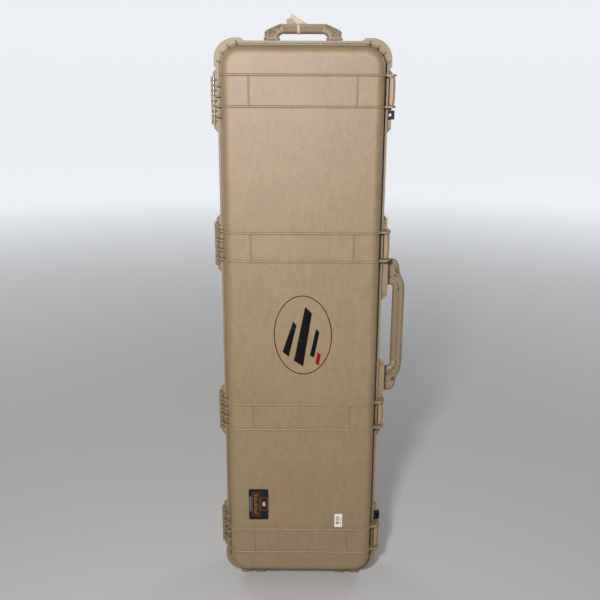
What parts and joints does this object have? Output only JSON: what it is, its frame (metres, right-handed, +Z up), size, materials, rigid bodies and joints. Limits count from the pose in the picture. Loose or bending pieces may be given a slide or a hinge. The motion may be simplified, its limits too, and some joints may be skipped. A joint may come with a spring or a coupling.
{
  "type": "long hard transport case",
  "caption": "Long hard-shell transport case with hinged lid, draw latches, folding side and end handles, wheels and foam bays.",
  "frame": {"origin": "centre of the bounding box's bottom face, on the floor under the case as it stands on its wheel end", "axes": "+Z up along the case's length, +Y from the lid towards the back of the base, +X from the hinges towards the latches and side handle"},
  "size_m": [0.45, 0.155, 1.399],
  "materials": {
    "shell_plastic": "matte",
    "latch_plastic": "satin",
    "handle_plastic": "matte",
    "grip_rubber": "matte",
    "pin_steel": "satin",
    "plate_steel": "satin",
    "seal_rubber": "matte",
    "valve_plastic": "satin",
    "vent_membrane": "matte",
    "foam_solid": "matte",
    "foam_cut": "matte",
    "foam_lid": "matte",
    "strap_paper": "matte",
    "wheel_plastic": "satin",
    "wheel_tyre": "matte",
    "bearing_steel": "polished"
  },
  "bodies": {
    "base": {"base_shell": "shell_plastic", "base_foam_pad": "foam_solid", "base_foam_frame": "foam_cut", "hinge_pins": "pin_steel", "base_lock_plates": "plate_steel", "side_handle_pins": "pin_steel", "end_handle_pins": "pin_steel", "valve_body": "valve_plastic", "valve_seal": "seal_rubber", "valve_nut": "valve_plastic", "valve_vent": "vent_membrane", "wheel_axles": "pin_steel", "axle_clips": "pin_steel"},
    "lid": {"lid_shell": "shell_plastic", "lid_gasket": "seal_rubber", "lid_foam": "foam_lid", "lid_lock_plates": "plate_steel", "latch_pins": "pin_steel"},
    "side_handle": {"side_handle": "handle_plastic", "side_grip": "grip_rubber"},
    "end_handle": {"end_handle": "handle_plastic", "end_grip": "grip_rubber", "tag_strap": "strap_paper"},
    "latch_arm_1": {"latch_arm_1": "latch_plastic", "lever_pin_1": "pin_steel"},
    "latch_lever_1": {"latch_lever_1": "latch_plastic"},
    "latch_arm_2": {"latch_arm_2": "latch_plastic", "lever_pin_2": "pin_steel"},
    "latch_lever_2": {"latch_lever_2": "latch_plastic"},
    "latch_arm_3": {"latch_arm_3": "latch_plastic", "lever_pin_3": "pin_steel"},
    "latch_lever_3": {"latch_lever_3": "latch_plastic"},
    "latch_arm_4": {"latch_arm_4": "latch_plastic", "lever_pin_4": "pin_steel"},
    "latch_lever_4": {"latch_lever_4": "latch_plastic"},
    "wheel_left": {"wheel_hub_left": "wheel_plastic", "wheel_tyre_left": "wheel_tyre", "wheel_bearings_left": "bearing_steel"},
    "wheel_right": {"wheel_hub_right": "wheel_plastic", "wheel_tyre_right": "wheel_tyre", "wheel_bearings_right": "bearing_steel"}
  },
  "joints": [
    {"name": "lid_hinge", "type": "hinge", "parent": "base", "child": "lid", "pos_m": [-0.2185, -0.0305, 0.682], "axis": [0, 0, -1], "range_deg": [0, 105]},
    {"name": "latch_1_swing", "type": "hinge", "parent": "lid", "child": "latch_arm_1", "pos_m": [0.174, -0.0445, 0.128], "axis": [0, 0, -1], "range_deg": [0, 100]},
    {"name": "latch_1_lever", "type": "hinge", "parent": "latch_arm_1", "child": "latch_lever_1", "pos_m": [0.175, -0.0225, 0.128], "axis": [0, 0, -1], "range_deg": [0, 75]},
    {"name": "latch_2_swing", "type": "hinge", "parent": "lid", "child": "latch_arm_2", "pos_m": [0.174, -0.0445, 0.472], "axis": [0, 0, -1], "range_deg": [0, 100]},
    {"name": "latch_2_lever", "type": "hinge", "parent": "latch_arm_2", "child": "latch_lever_2", "pos_m": [0.175, -0.0225, 0.472], "axis": [0, 0, -1], "range_deg": [0, 75]},
    {"name": "latch_3_swing", "type": "hinge", "parent": "lid", "child": "latch_arm_3", "pos_m": [0.174, -0.0445, 0.892], "axis": [0, 0, -1], "range_deg": [0, 100]},
    {"name": "latch_3_lever", "type": "hinge", "parent": "latch_arm_3", "child": "latch_lever_3", "pos_m": [0.175, -0.0225, 0.892], "axis": [0, 0, -1], "range_deg": [0, 75]},
    {"name": "latch_4_swing", "type": "hinge", "parent": "lid", "child": "latch_arm_4", "pos_m": [0.174, -0.0445, 1.236], "axis": [0, 0, -1], "range_deg": [0, 100]},
    {"name": "latch_4_lever", "type": "hinge", "parent": "latch_arm_4", "child": "latch_lever_4", "pos_m": [0.175, -0.0225, 1.236], "axis": [0, 0, -1], "range_deg": [0, 75]},
    {"name": "side_handle_fold", "type": "hinge", "parent": "base", "child": "side_handle", "pos_m": [0.174, 0.0045, 0.682], "axis": [0, 0, 1], "range_deg": [0, 90]},
    {"name": "end_handle_fold", "type": "hinge", "parent": "base", "child": "end_handle", "pos_m": [-0.022, 0.0045, 1.341], "axis": [-1, 0, 0], "range_deg": [0, 90]},
    {"name": "wheel_left_spin", "type": "hinge", "parent": "base", "child": "wheel_left", "pos_m": [-0.146, 0.0525, 0.027], "axis": [1, 0, 0], "continuous": true},
    {"name": "wheel_right_spin", "type": "hinge", "parent": "base", "child": "wheel_right", "pos_m": [0.102, 0.0525, 0.027], "axis": [1, 0, 0], "continuous": true}
  ]
}
